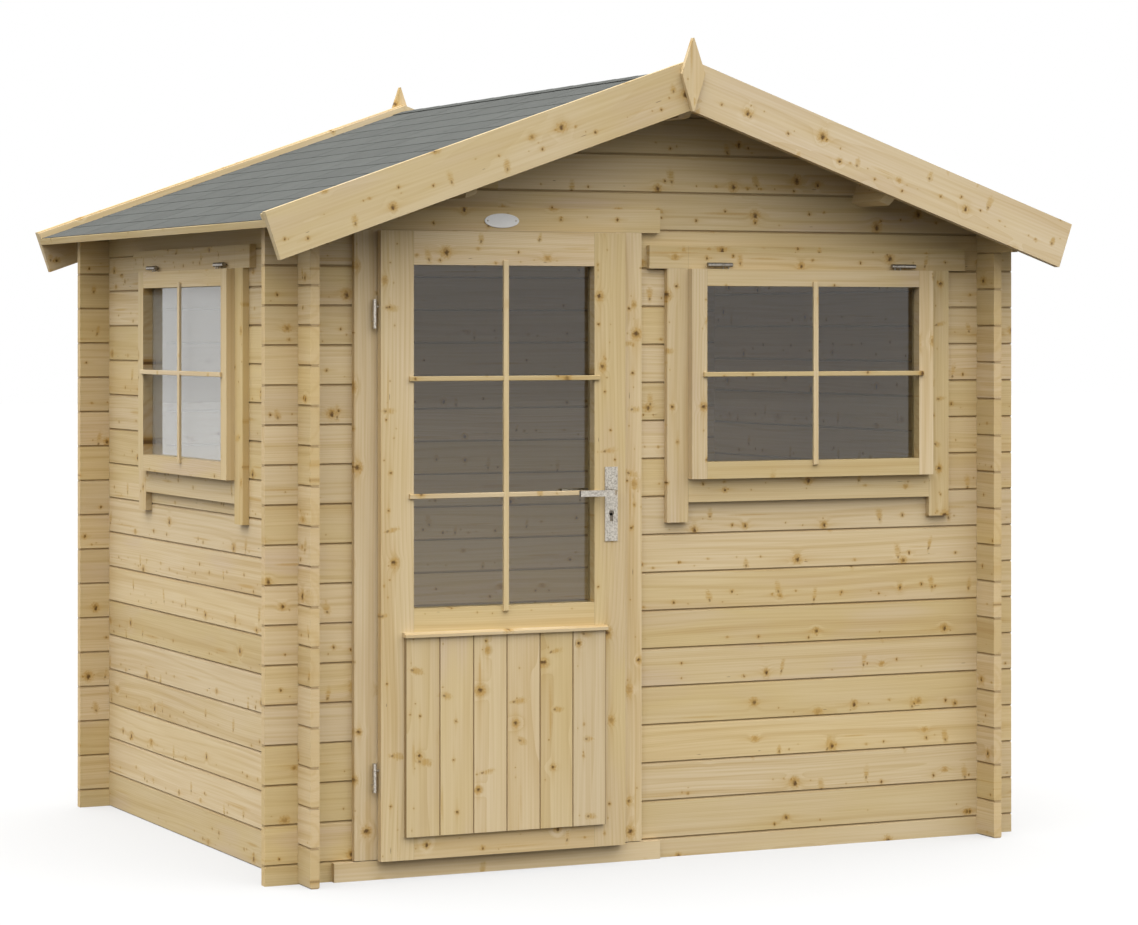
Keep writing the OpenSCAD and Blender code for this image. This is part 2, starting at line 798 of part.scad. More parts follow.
// Both lock plates, one on each face of the door
module lock_plates() {
    color("silver") for (y = [leaf_face - seat - plate_t, leaf_back + seat])
        translate([spindle_x, y, leaf_z + spindle_z]) rotate([-90, 0, 0])
            linear_extrude(plate_t) difference() {
                translate([-plate_w / 2, -plate_above]) square([plate_w, plate_h]);
                circle(d = neck_d + 4 * run_gap);
                translate([0, keyhole_drop]) keyhole();
            }
}

// One lever seen from above, clear of its plate from y = low out to y = out: a grip that bends in to its neck
module lever_plan(low, out) {
    r = lever_bend;
    translate([neck_d / 2 - r, out - r]) difference() {
        intersection() {
            circle(r);
            square(r);
        }
        circle(r - lever_t);
    }
    translate([-lever_l, out - lever_t]) square([lever_l + neck_d / 2 - r + seat, lever_t]);
    translate([neck_d / 2 - lever_t, low]) square([lever_t, out - r - low + seat]);
}

// One lever seen from the front, slimmer where it turns in
module lever_front() {
    top = lever_h / 2;
    x = neck_d / 2;
    slim = lever_h - lever_root_h;
    under = [for (a = [0:15:90]) [x - lever_bend * (1 - a / 90), slim * (1 - cos(a)) - top]];
    polygon(concat([[x, top], [-lever_l, top], [-lever_l, -top]], under));
}

// Levers on both faces and the spindle that joins them
module door_lever() {
    stand = plate_t + seat + lever_stand;
    low = plate_t + seat + run_gap;
    out = stand + lever_t;
    color("silver") translate([spindle_x, 0, leaf_z + spindle_z]) {
        translate([0, leaf_face - stand / 2, 0]) rotate([-90, 0, 0])
            cylinder(d = spindle_d, h = leaf_t + stand);
        for (side = [0, 1]) translate([0, side ? leaf_back : leaf_face, 0]) mirror([0, 1 - side, 0]) {
            rotate([-90, 0, 0]) cylinder(d = neck_d, h = 2 * plate_t + seat);
            intersection() {
                translate([0, 0, -lever_h]) linear_extrude(2 * lever_h) lever_plan(low, out);
                rotate([90, 0, 0]) linear_extrude(4 * out, center = true) lever_front();
            }
        }
    }
}

// One window's fixed parts, with the wall's outer face at y = 0 and the opening's foot at z = 0
module window_frame() {
    w = window_open_w;
    h = window_h;
    wall = log_t;
    y1 = wall + frame_proud;
    inner_w = sash_w - 2 * sash_lap;
    inner_z = rail_cover + sash_lap;
    inner_h = sash_h - 2 * sash_lap;
    side_z = -window_tail;
    // lining round the opening
    difference() {
        union() {
            translate([-w / 2 + seat, 0, seat]) cube([w - 2 * seat, y1, h - 2 * seat]);
            translate([-sash_w / 2 + seat, -frame_proud, rail_cover + seat])
                cube([sash_w - 2 * seat, frame_proud + eps, sash_h - 2 * seat]);
            translate([-w / 2 - frame_clasp, wall + seat, -frame_clasp])
                cube([w + 2 * frame_clasp, frame_proud - seat, h + 2 * frame_clasp]);
        }
        translate([-inner_w / 2, -frame_proud - eps, inner_z])
            cube([inner_w, y1 + frame_proud + 2 * eps, inner_h]);
    }
    // trim on the wall's outer face
    for (s = [0, 1]) mirror([s, 0, 0])
        translate([-w / 2 - frame_clasp, -frame_proud - seat, side_z])
            cube([window_trim_w, frame_proud, h - side_z]);
    translate([-window_head_w / 2, -frame_proud - seat, h + seat])
        cube([window_head_w, frame_proud, head_board_h]);
    translate([-sash_w / 2 + seat, -frame_proud - seat, rail_cover - window_rail_h])
        cube([sash_w - 2 * seat, frame_proud, window_rail_h]);
}

module window_sash() {
    back = -frame_proud - sash_step + sash_t;
    face = -frame_proud - sash_step;
    hole_w = sash_w - 2 * sash_rail_w;
    hole_h = sash_h - 2 * sash_rail_w;
    core = sash_lap + sash_clear;
    difference() {
        union() {
            translate([-sash_w / 2, face, rail_cover]) cube([sash_w, sash_step - seat, sash_h]);
            translate([-sash_w / 2 + core, face, rail_cover + core])
                cube([sash_w - 2 * core, sash_t, sash_h - 2 * core]);
        }
        translate([-hole_w / 2, face - eps, rail_cover + sash_rail_w])
            cube([hole_w, sash_t + 2 * eps, hole_h]);
        pane_slot(hole_w, hole_h, rail_cover + sash_rail_w, back - glass_inset - glass_t);
    }
}

module window_glass() {
    pane(sash_w - 2 * sash_rail_w, sash_h - 2 * sash_rail_w, rail_cover + sash_rail_w,
        -frame_proud - sash_step + sash_t - glass_inset - glass_t);
}

// One top hinge, centred, with its inner half towards +X: pins go down to the sash and back to the head board
module sash_hinge() {
    back = sash_step / 2 - seat;
    down = hinge_d / 2 + hinge_gap - seat;
    for (s = [-1, 1]) {
        translate([s * (hinge_l + 2 * run_gap) / 4, 0, 0]) rotate([0, 90, 0])
            cylinder(d = hinge_d, h = hinge_l / 2 - run_gap, center = true);
        for (i = [-0.5, 0.5]) translate([s * hinge_l / 4 + i * sash_pin_pitch, 0, 0])
            rotate(s > 0 ? [180, 0, 0] : [-90, 0, 0]) cylinder(d = sash_pin_d, h = s > 0 ? down : back);
    }
    rotate([0, 90, 0]) cylinder(d = hinge_pin_d, h = hinge_l / 2, center = true);
}

// Both top hinges of one window
module sash_hinges() {
    y = -frame_proud - sash_step / 2 - seat;
    z = rail_cover + sash_h + hinge_gap + hinge_d / 2;
    for (s = [0, 1]) mirror([s, 0, 0]) translate([sash_hinge_inset - sash_w / 2, y, z]) sash_hinge();
}

// Places on the walls
module at_front_window() { translate([window_x, -wall_d / 2, window_z]) children(); }

module at_left_window() {
    translate([-wall_w / 2, side_window_y, window_z]) rotate([0, 0, -90]) children();
}

module front_window_frame() { color("wheat") at_front_window() window_frame(); }

module front_window_sash() { color("wheat") at_front_window() window_sash(); }

module front_window_glass() { color("lightslategray", 0.5) at_front_window() window_glass(); }

module left_window_frame() { color("wheat") at_left_window() window_frame(); }

module left_window_sash() { color("wheat") at_left_window() window_sash(); }

module left_window_glass() { color("lightslategray", 0.5) at_left_window() window_glass(); }

module window_hinges() {
    color("silver") {
        at_front_window() sash_hinges();
        at_left_window() sash_hinges();
    }
}

front_sill_log();
front_wall_left();
front_wall_low();
front_wall_pier();
front_wall_right();
front_head_log();
front_gable();
back_wall();
back_gable();
right_wall();
left_wall_low();
left_wall_front();
left_wall_back();
left_sill_log();
left_head_log();
wall_plates();
ridge_purlin();
lower_purlins();
left_roof_boards();
right_roof_boards();
left_shingles();
right_shingles();
ridge_shingles();
gable_edge_strips();
eaves_strips();
front_barge_boards();
back_barge_boards();
finials();
floor_bearers();
floor_boards();
door_frame();
door_trim_boards();
door_hinge_pins();
door_leaf();
door_glass();
door_panel();
door_hinge_knuckles();
lock_plates();
door_lever();
front_window_frame();
front_window_sash();
front_window_glass();
left_window_frame();
left_window_sash();
left_window_glass();
window_hinges();
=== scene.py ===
import math

import bmesh
import bpy
from mathutils import Matrix, Vector


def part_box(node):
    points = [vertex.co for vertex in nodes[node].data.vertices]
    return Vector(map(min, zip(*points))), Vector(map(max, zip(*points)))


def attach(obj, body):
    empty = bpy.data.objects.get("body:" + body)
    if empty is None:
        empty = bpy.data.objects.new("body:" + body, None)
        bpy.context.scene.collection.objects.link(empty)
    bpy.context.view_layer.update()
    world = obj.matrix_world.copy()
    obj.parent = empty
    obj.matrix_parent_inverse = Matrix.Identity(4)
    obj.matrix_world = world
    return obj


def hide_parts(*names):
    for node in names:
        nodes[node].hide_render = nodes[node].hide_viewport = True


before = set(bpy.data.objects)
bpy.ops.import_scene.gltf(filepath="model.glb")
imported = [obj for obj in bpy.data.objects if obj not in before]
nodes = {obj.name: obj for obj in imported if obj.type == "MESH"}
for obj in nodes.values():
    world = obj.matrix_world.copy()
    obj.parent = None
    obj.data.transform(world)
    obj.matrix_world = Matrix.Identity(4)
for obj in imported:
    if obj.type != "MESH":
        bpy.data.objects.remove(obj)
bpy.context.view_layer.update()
print("frame loaded with", len(nodes), "nodes")


# Places that every piece shares, from the solids

logs = {"height": 0.114, "thickness": 0.028}
halfLog = logs["height"] / 2
clear = 0.0002  # gap behind what is planted on a face


def middle(low, high):
    return (low + high) / 2


leafLow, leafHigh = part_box("door_leaf")
doorGlassLow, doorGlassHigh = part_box("door_glass")
panelLow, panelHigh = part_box("door_panel")
doorFrameLow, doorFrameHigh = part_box("door_frame")
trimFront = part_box("door_trim_boards")[0].y
doorX = middle(leafLow.x, leafHigh.x)
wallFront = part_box("front_sill_log")[0].y
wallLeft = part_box("left_wall_low")[0].x


# Camera

view = {
    "place": (-4.5852, -9.9990, 1.5846),
    "turn": 25.25,  # degrees from square on to the front wall
    "lens": 107.4,
    "rise": -0.1169,  # shift that keeps the uprights upright
}


def addCamera():
    data = bpy.data.cameras.new("camera")
    data.lens = view["lens"]
    data.sensor_width = 36
    data.shift_y = view["rise"]
    data.clip_end = 300
    camera = bpy.data.objects.new("camera", data)
    camera.location = view["place"]
    camera.rotation_euler = (math.pi / 2, 0, -math.radians(view["turn"]))
    bpy.context.scene.collection.objects.link(camera)
    bpy.context.scene.camera = camera
    bpy.context.scene.view_settings.view_transform = "Standard"


addCamera()
print("camera placed")


# Shader expressions


class Wire:  # a socket that takes part in Python expressions
    def __init__(self, graph, socket):
        self.graph = graph
        self.socket = socket

    def math(self, operation, *values):
        return self.graph.node("Math", {"operation": operation}, values)

    def __add__(self, other):
        return self.math("ADD", self, other)

    def __radd__(self, other):
        return self.math("ADD", other, self)

    def __sub__(self, other):
        return self.math("SUBTRACT", self, other)

    def __rsub__(self, other):
        return self.math("SUBTRACT", other, self)

    def __mul__(self, other):
        return self.math("MULTIPLY", self, other)

    def __rmul__(self, other):
        return self.math("MULTIPLY", other, self)

    def __truediv__(self, other):
        return self.math("DIVIDE", self, other)

    def __rtruediv__(self, other):
        return self.math("DIVIDE", other, self)

    def __pow__(self, other):  # a square by itself, which renders faster
        return self.math("MULTIPLY", self, self) if other == 2 else self.math("POWER", self, other)

    def __neg__(self):
        return self.math("MULTIPLY", self, -1)

    def __abs__(self):
        return self.math("ABSOLUTE", self)

    def __gt__(self, other):
        return self.math("GREATER_THAN", self, other)

    def __lt__(self, other):
        return self.math("LESS_THAN", self, other)

    def floor(self):
        return self.math("FLOOR", self)

    def fraction(self):
        return self.math("FRACT", self)

    def root(self):
        return self.math("SQRT", self)

    def power(self):
        return self.math("EXPONENT", self)

    def held(self):  # kept between 0 and 1
        return self.graph.node("Clamp", {}, [self])

    def larger(self, other):
        return self.math("MAXIMUM", self, other)

    def fade(self, start, end):  # 0 at start and 1 at end, with soft ends
        return self.graph.node(
            "MapRange", {"interpolation_type": "SMOOTHSTEP"}, {0: self, 1: start, 2: end}
        )

    def choose(self, off, on):  # off where this is 0, on where it is 1
        return self.graph.node("Mix", {"data_type": "FLOAT"}, {0: self, 2: off, 3: on})


class Graph:  # the nodes of one material, or of the world
    def __init__(self, name, group="materials"):
        self.material = getattr(bpy.data, group).new(name)
        self.material.use_nodes = True
        self.tree = self.material.node_tree
        self.tree.nodes.clear()

    def node(self, kind, settings=None, sockets=None, output=0):
        made = self.tree.nodes.new("ShaderNode" + kind)
        for key, value in (settings or {}).items():
            setattr(made, key, value)
        pairs = sockets.items() if isinstance(sockets, dict) else enumerate(sockets or ())
        for key, value in pairs:
            if isinstance(value, Wire):
                self.tree.links.new(value.socket, made.inputs[key])
            elif value is not None:
                made.inputs[key].default_value = value
        return Wire(self, made.outputs[output])

    def also(self, wire, output):  # another output of the node behind a wire
        return Wire(self, wire.socket.node.outputs[output])

    def place(self):  # where a point of the surface lies at rest
        split = self.node("SeparateXYZ", {}, [self.node("TexCoord", output="Object")])
        return split, self.also(split, "Y"), self.also(split, "Z")

    def facing(self):
        split = self.node("SeparateXYZ", {}, [self.node("TexCoord", output="Normal")])
        return split, self.also(split, "Y"), self.also(split, "Z")

    def vector(self, x=0.0, y=0.0, z=0.0):
        return self.node("CombineXYZ", {}, [x, y, z])

    def noise(self, where, scale=1.0, detail=2.0, rough=0.5):
        return self.node(
            "TexNoise", {}, {"Vector": where, "Scale": scale, "Detail": detail, "Roughness": rough}
        )

    def chances(self, number):  # three random values that belong to a number
        made = self.node("TexWhiteNoise", {"noise_dimensions": "1D"}, {"W": number}, "Color")
        split = self.node("SeparateColor", {}, [made])
        return split, self.also(split, 1), self.also(split, 2)

    def blend(self, factor, first, second, kind="MIX"):  # between two colours
        first, second = [c if isinstance(c, Wire) else (*c, 1.0) for c in (first, second)]
        settings = {"data_type": "RGBA", "blend_type": kind}
        return self.node("Mix", settings, {0: factor, 6: first, 7: second}, 2)

    def bump(self, height, strength, distance):
        return self.node(
            "Bump", {}, {"Strength": strength, "Distance": distance, "Height": height}
        )

    def finish(self, shader, kind="ShaderNodeOutputMaterial"):
        out = self.tree.nodes.new(kind)
        self.tree.links.new(shader.socket, out.inputs["Surface"])
        return self.material

    def principled(self, sockets):
        return self.finish(self.node("BsdfPrincipled", {}, sockets))


# Pine

pine = {
    "pale": (0.650, 0.520, 0.325),
    "yellow": (0.610, 0.470, 0.230),
    "rose": (0.600, 0.470, 0.330),
    "late": (0.470, 0.310, 0.115),  # lines between the years
    "ochre": (0.460, 0.265, 0.050),  # wood full of resin
    "knot": (0.270, 0.140, 0.026),
    "core": (0.080, 0.034, 0.006),
    "end": (0.560, 0.390, 0.180),
    "joint": (0.290, 0.210, 0.120),  # what a joint's shade leaves of the colour
    "ring": 0.0046,  # width of a growth ring
    "roughness": 0.62,
}
# marks in the wood: a place for one in every so many metres, the share of places that a board
# fills, from the cleanest to the knottiest, and half the mark's length
marks = {
    "big": {"every": 0.210, "share": (0.20, 0.70), "sizes": (0.0055, 0.0100), "seed": 3.0},
    "small": {"every": 0.095, "share": (0.18, 0.63), "sizes": (0.0028, 0.0048), "seed": 11.0},
    "pins": {"every": 0.065, "share": (0.36, 0.36), "sizes": (0.0016, 0.0027), "seed": 31.0},
    "spikes": {"every": 0.260, "share": (0.15, 0.70), "sizes": (0.0075, 0.0135), "seed": 17.0},
    "pitch": {"every": 0.260, "share": (0.22, 0.22), "sizes": (0.0050, 0.0130), "seed": 23.0},
    "bands": {"every": 0.550, "share": (0.60, 0.60), "sizes": (0.0500, 0.1500), "seed": 41.0},
}
marks["spikes"]["tall"] = (0.016, 0.032)  # half their height across the board
marks["pitch"]["thick"] = 0.0010
marks["bands"]["thick"] = 0.0060


def between(limits, share):
    return limits[0] + (limits[1] - limits[0]) * share


def spots(g, board, kind, busy, luck):
    # the nearest of the marks on a board: the way to it, chances for its size and shape, whether it is there
    every = kind["every"]
    u = board["along"] / every + board["number"] * 7.31 + kind["seed"]
    v = board["across"] / logs["height"] + 0.4 + board["number"] * 3
    mark = g.node(
        "TexVoronoi",
        {"voronoi_dimensions": "2D"},
        {"Vector": g.vector(u, v), "Scale": 1.0, "Randomness": 0.8},
        "Position",
    )
    centre = g.node("SeparateXYZ", {}, [mark])
    chance = g.node("SeparateColor", {}, [g.also(mark, "Color")])
    offAlong, offAcross = (u - centre) * every, (v - g.also(centre, "Y")) * logs["height"]
    there = g.also(chance, 1) < busy * between(kind["share"], luck)
    return offAlong, offAcross, chance, g.also(chance, 2), there


def knots(g, board, rough, kind, busy, luck):
    # round knots: the brown disc, its dark core, the resin round it and the bend that it gives the rings
    offAlong, offAcross, size, shape, real = spots(g, board, kind, busy, luck)
    radius = between(kind["sizes"], size)
    flat, high = offAlong / radius, offAcross / (radius * (0.85 + 0.6 * shape))
    away = (flat**2 + high**2).root() + rough * 0.8
    disc = away.fade(1.15, 0.55) * (0.40 + 0.6 * shape) * real
    core = ((flat - 0.2) ** 2 + (high + 0.15) ** 2).root() + rough * 1.1
    resin = ((flat / 2.7) ** 2 + (high / 1.9) ** 2 + rough * 1.4).fade(1.1, 0.0) * 0.85
    tail = (abs(flat) * -0.20).power() * (high * high * -1.4).power() * 0.6
    bend = (away * away * -0.16).power() * real
    core = core.fade(0.85, 0.25) * real * shape.fade(0.15, 0.45)
    return disc, core, resin.larger(tail) * real, bend


def spikes(g, board, rough, fibre, kind, busy, luck):
    # knots cut lengthwise: blurred ochre wedges that run across the board
    offAlong, offAcross, size, shape, real = spots(g, board, kind, busy, luck)
    tall = between(kind["tall"], shape)
    wide = between(kind["sizes"], size) + offAcross * (shape - 0.5) * 0.40
    lean = offAlong + offAcross * (size - 0.5) * 0.5
    away = ((lean / wide) ** 2 + (offAcross / tall) ** 2).root() + rough * 0.9
    heart = ((lean / 0.0045) ** 2 + ((offAcross + tall * 0.4) / 0.0060) ** 2).root() + rough
    return away.fade(1.2, 0.3) * (0.10 + 1.1 * fibre).held() * real, heart.fade(1.1, 0.3) * real


def dashes(g, board, rough, kind, busy):  # resin streaks along the grain
    offAlong, offAcross, size, shape, real = spots(g, board, kind, busy, 0.0)
    half = between(kind["sizes"], size)
    thick = kind["thick"] * (0.6 + 0.8 * shape)
    away = ((offAlong / half) ** 2 + (offAcross / thick) ** 2).root() + rough * 0.6
    return away.fade(1.15, 0.35) * real


def pineFinish(name, layout, tint=(1.0, 1.0, 1.0), busy=1.0):
    g = Graph(name)
    board = layout(g, *g.place())
    along, across, depth, number = [board[k] for k in ("along", "across", "depth", "number")]
    tone, knotty, light = g.chances(number + 0.37)
    slide, lift, sink = g.chances(number + 7.91)
    rough = g.noise(g.vector(along, across, number), 150, 1) - 0.5
    fibre = g.noise(g.vector(along * 9, across * 420, depth * 420), 1.0, 0)
    streaks = g.noise(g.vector(along * 3, across * 160, number), 1.0, 0)

    big = knots(g, board, rough, marks["big"], busy, knotty)
    small = knots(g, board, rough, marks["small"], busy, slide)
    pins = knots(g, board, rough, marks["pins"], busy, 0.0)
    wedge, wedgeCore = spikes(g, board, rough, fibre, marks["spikes"], busy, lift)
    resin = dashes(g, board, rough, marks["pitch"], busy)
    band = dashes(g, board, rough, marks["bands"], 1.0) * streaks.fade(0.30, 0.65)

    # growth rings round a heart that lies behind the face and wanders along the board
    wander = g.noise(g.vector(along * 1.1, number * 5.0), 1.0, 0) - 0.5
    ripple = g.noise(g.vector(along * 2.5, across * 16, number), 1.0, 0) - 0.5
    heartAcross = across + (lift - 0.5) * 0.13 + wander * 0.07
    heartDepth = depth + 0.014 + sink * 0.06
    heart = (heartAcross**2 + heartDepth**2).root()
    bend = big[3] * 1.5 + wedge * 1.2
    late = (heart / pine["ring"] + ripple * 0.9 + bend).fraction() ** 3
    bands = g.noise(g.vector(heart * 75 + bend, along * 0.7, number), 1.0, 0)
    cloud = g.noise(g.vector(along * 2.2, across * 9, number * 3.7), 1.0, 1)

    colour = g.blend((tone * 1.1 - 0.1 + (cloud - 0.5) * 1.6).held(), pine["pale"], pine["yellow"])
    colour = g.blend(cloud.fade(0.50, 0.70) * 0.8 * slide, colour, pine["rose"])
    lines = bands.fade(0.46, 0.76) * 0.34 + late * (0.14 + 0.24 * sink)
    lines = lines + (streaks - 0.36) * 0.50 + fibre * 0.06
    colour = g.blend(lines.held(), colour, pine["late"])
    stained = (big[2] + small[2] * 0.8 + pins[2] * 0.5).larger(wedge).larger(band * 0.60)
    colour = g.blend(stained.held() * 0.85, colour, pine["ochre"])
    discs = (big[0] * 0.72).larger(small[0] * 0.80).larger(pins[0] * 0.7)
    colour = g.blend(discs, colour, pine["knot"])
    dark = (big[1] * 0.85).larger(small[1] * 0.7).larger(wedgeCore * 0.55).larger(resin * 0.7)
    colour = g.blend(dark, colour, pine["core"])
    brightness = 0.93 + 0.12 * light
    shade = g.node("CombineColor", {}, [brightness * t for t in tint])
    colour = g.blend(1.0, colour, shade, "MULTIPLY")
    if "end" in board:
        colour = g.blend(board["end"] * (0.30 + 0.4 * late), colour, pine["end"])
    if "edge" in board:
        colour = g.blend(board["edge"], colour, g.blend(1.0, colour, pine["joint"], "MULTIPLY"))
    return g.principled(
        {
            "Base Color": colour,
            "Roughness": pine["roughness"] + 0.10 * fibre - 0.14 * big[0],
            "Specular IOR Level": 0.32,
        }
    )


def endOf(facing):  # 1 on faces square to the grain
    return abs(facing) > 0.8


def seam(across, half, width=0.0040, depth=0.45):  # 1 beside a board's edges
    return (abs(across) > half - width) * depth


def logsAlongX(g, x, y, z):
    course = ((z - halfLog) / logs["height"]).floor()
    across = z - halfLog * 2 - course * logs["height"]
    back = y > 0
    cut = (x > doorX) * 20 + (x > frontWindow["x"]) * (z > windowFoot) * (z < windowHead) * 30
    return {
        "along": x,
        "across": across,
        "depth": y - (1 - 2 * back) * (wallFront + logs["thickness"] / 2),
        "number": course + back * 60 + cut * (1 - back),
        "edge": seam(across, halfLog),
        "end": endOf(g.facing()[0]),
    }


def logsAlongY(g, x, y, z):
    course = (z / logs["height"]).floor()
    across = z - halfLog - course * logs["height"]
    right = x > 0
    cut = (y > 0) * (z > windowFoot) * (z < windowHead) * 60
    return {
        "along": y,
        "across": across,
        "depth": x - (1 - 2 * right) * (wallLeft + logs["thickness"] / 2),
        "number": course + 100 + right * 30 + cut * (1 - right),
        "edge": seam(across, halfLog),
        "end": endOf(g.facing()[1]),
    }


def panelBoards(g, x, y, z):  # upright boards under a strip that lies along their tops
    edge = panel["edge"]
    board = sheeting("z", panelLow.x + edge, panelHigh.x - edge, panel["board"], 540)(g, x, y, z)
    strip = z > panelHigh.z - panel["strip"]
    return {
        "along": strip.choose(z, x),
        "across": strip.choose(board["across"], z - panelHigh.z),
        "depth": y,
        "number": strip.choose(board["number"], 539),
        "edge": board["edge"] * (1 - strip),
    }


def plain(direction, first, step=3.0):  # separate timbers that all run one way
    def layout(g, x, y, z):
        along, across, depth = {"x": (x, z, y), "y": (y, z, x), "z": (z, x, y)}[direction]
        number = first + (depth * step).floor() + (across * step).floor() * 5
        ends = g.facing()["xyz".index(direction)]
        return {"along": along, "across": across, "depth": depth, "number": number, "end": endOf(ends)}

    return layout


def sheeting(direction, low, high, nominal, first):  # tongued boards side by side, from low to high
    step = (high - low) / round((high - low) / nominal)

    def layout(g, x, y, z):
        along, side, depth = {"x": (x, y, z), "y": (y, x, z), "z": (z, x, y)}[direction]
        count = ((side - low) / step).floor()
        across = side - low - (count + 0.5) * step
        number = count + first
        if direction == "x":  # the roof's slopes have boards of their own
            number = number + (x > 0) * 50
        return {
            "along": along,
            "across": across,
            "depth": depth,
            "number": number,
            "edge": seam(across, step / 2, 0.0020, 0.65),
        }

    return layout


def downRoof(first):  # boards that follow the roof's slope
    def layout(g, x, y, z):
        down = abs(x) * math.cos(pitch) - z * math.sin(pitch)
        out = abs(x) * math.sin(pitch) + z * math.cos(pitch)
        number = (x > 0) * 3 + (y > 0) * 7 + first
        return {"along": down, "across": out - bargeLine, "depth": y, "number": number}

    return layout


def framed(x0, half, rails, first, turned=False):  # uprights outside half, and rails between them
    def layout(g, x, y, z):
        side, depth = (y, x) if turned else (x, y)
        side = side - x0
        upright = abs(side) > half
        for low, high in rails.get("over", ()):
            upright = upright * (1 - (z > low) * (z < high))
        level = (z * rails["step"]).floor()
        return {
            "along": upright.choose(side, z),
            "across": upright.choose(z, side),
            "depth": depth,
            "number": first + upright.choose(level * 2 + 4, side > 0),
            "edge": (abs(abs(side) - half) < 0.0008) * 0.25,
        }

    return layout


def finish(names, material):
    for name in names.split():
        nodes[name].data.materials.clear()
        nodes[name].data.materials.append(material)


roof = {"pitch": 19.35, "board": 0.096, "barge": 0.141}
pitch = math.radians(roof["pitch"])
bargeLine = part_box("front_barge_boards")[1].z * math.cos(pitch) - roof["barge"] / 2
roofLow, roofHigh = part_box("left_roof_boards")

frontWindow = {"sash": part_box("front_window_sash"), "glass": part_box("front_window_glass")}
sideWindow = {"sash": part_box("left_window_sash"), "glass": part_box("left_window_glass")}
frontWindow["x"] = middle(frontWindow["sash"][0].x, frontWindow["sash"][1].x)
sideWindow["y"] = middle(sideWindow["sash"][0].y, sideWindow["sash"][1].y)
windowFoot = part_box("front_wall_pier")[0].z
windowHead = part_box("front_head_log")[0].z + 0.001
joinery = {
    "groove": 0.0077,  # how far a pane reaches behind its frame
    "trim": 0.071,  # width of a window's upright trim
    "headPast": 0.0595,  # how far the head trim runs past the uprights
    "post": 0.085,
    "floorBoard": 0.096,
    "knots": 1.5,  # how much knottier than the logs it is
}
groove = joinery["groove"]
paneHalf = (frontWindow["glass"][1].x - frontWindow["glass"][0].x) / 2 - groove
frontFrameLow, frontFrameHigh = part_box("front_window_frame")
trimInside = (frontFrameHigh.x - frontFrameLow.x) / 2 - joinery["headPast"] - joinery["trim"]
doorHoleHalf = (doorGlassHigh.x - doorGlassLow.x) / 2 - groove
postInside = (doorFrameHigh.x - doorFrameLow.x) / 2 - joinery["post"]
floorLow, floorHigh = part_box("floor_boards")
headTrim = {"step": 1.1, "over": [(windowHead + 0.0004, 3)]}

finish(
    "front_sill_log front_wall_left front_wall_low front_wall_pier front_wall_right front_head_log "
    "front_gable back_wall back_gable",
    pineFinish("pine logs of the front and back", logsAlongX),
)
finish(
    "right_wall left_wall_low left_wall_front left_wall_back left_sill_log left_head_log",
    pineFinish("pine logs of the sides", logsAlongY),
)
finish("wall_plates ridge_purlin lower_purlins eaves_strips", pineFinish("pine purlins", plain("y", 200)))
finish("floor_bearers door_trim_boards", pineFinish("pine along the front", plain("x", 240)))
finish("finials", pineFinish("pine finials", plain("z", 270, 0.4)))
finish(
    "left_roof_boards right_roof_boards",
    pineFinish("pine roof boards", sheeting("x", roofLow.y, roofHigh.y, roof["board"], 300)),
)
paler = (1.0, 1.03, 1.17)
finish(
    "front_barge_boards back_barge_boards gable_edge_strips",
    pineFinish("pine barge boards", downRoof(420), paler, 1.9),
)
boarding = sheeting("y", floorLow.x, floorHigh.x, joinery["floorBoard"], 340)
finish("floor_boards", pineFinish("pine floor", boarding))
panel = {"edge": 0.005, "strip": 0.0145}  # bare edge at the sides, height of the drip strip
panel["board"] = (panelHigh.x - panelLow.x - 2 * panel["edge"]) / 6
finish("door_panel", pineFinish("pine panel", panelBoards))
frontX, sideY = frontWindow["x"], sideWindow["y"]
for name, layout, busy in (
    ("door_frame", framed(doorX, postInside, {"step": 1.0}, 500), joinery["knots"]),
    ("door_leaf", framed(doorX, doorHoleHalf, {"step": 1.6}, 520), joinery["knots"]),
    ("front_window_frame", framed(frontX, trimInside, headTrim, 560), joinery["knots"]),
    ("left_window_frame", framed(sideY, trimInside, headTrim, 580, True), joinery["knots"]),
    ("front_window_sash", framed(frontX, paneHalf, {"step": 1.4}, 600), 1.0),
    ("left_window_sash", framed(sideY, paneHalf, {"step": 1.4}, 620, True), 1.0),
):
    finish(name, pineFinish("pine " + name.replace("_", " "), layout, busy=busy))
print("pine finished")


# Pieces made here

def addPiece(name, mesh, material, body, parts=()):
    piece = bpy.data.objects.new(name, mesh)
    bpy.context.scene.collection.objects.link(piece)
    mesh.materials.append(material)
    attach(piece, body)
    for part in parts:
        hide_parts(part)
    return piece


def finishMesh(name, made):
    bmesh.ops.recalc_face_normals(made, faces=made.faces)
    mesh = bpy.data.meshes.new(name)
    made.to_mesh(mesh)
    made.free()
    return mesh


def addBar(made, low, high, chamfer, outward):
    # square bar whose outer edges are chamfered; outward is the way that its front faces
    size = [b - a for a, b in zip(low, high)]
    where = Matrix.Translation([middle(a, b) for a, b in zip(low, high)]) @ Matrix.Diagonal((*size, 1))
    corners = bmesh.ops.create_cube(made, size=1, matrix=where)["verts"]
    axis = 0 if outward[0] else 1
    front = [v for v in corners if (v.co[axis] - middle(low[axis], high[axis])) * outward[axis] > 0]
    edges = [e for e in made.edges if all(v in front for v in e.verts)]
    bmesh.ops.bevel(made, geom=edges, offset=chamfer, segments=2, affect="EDGES", profile=0.5)


# Glazing bars, planted on the outer faces of the door and the sashes

bars = {"proud": 0.009, "step": 0.0008, "chamfer": 0.002, "knots": 0.5}
doorBars = {"upright": 0.017, "level": 0.0145, "lap": 0.015, "levels": (1.1025, 1.4422)}
sashBars = {"upright": 0.0168, "level": 0.0145, "lap": 0.014, "levels": (1.4495,)}


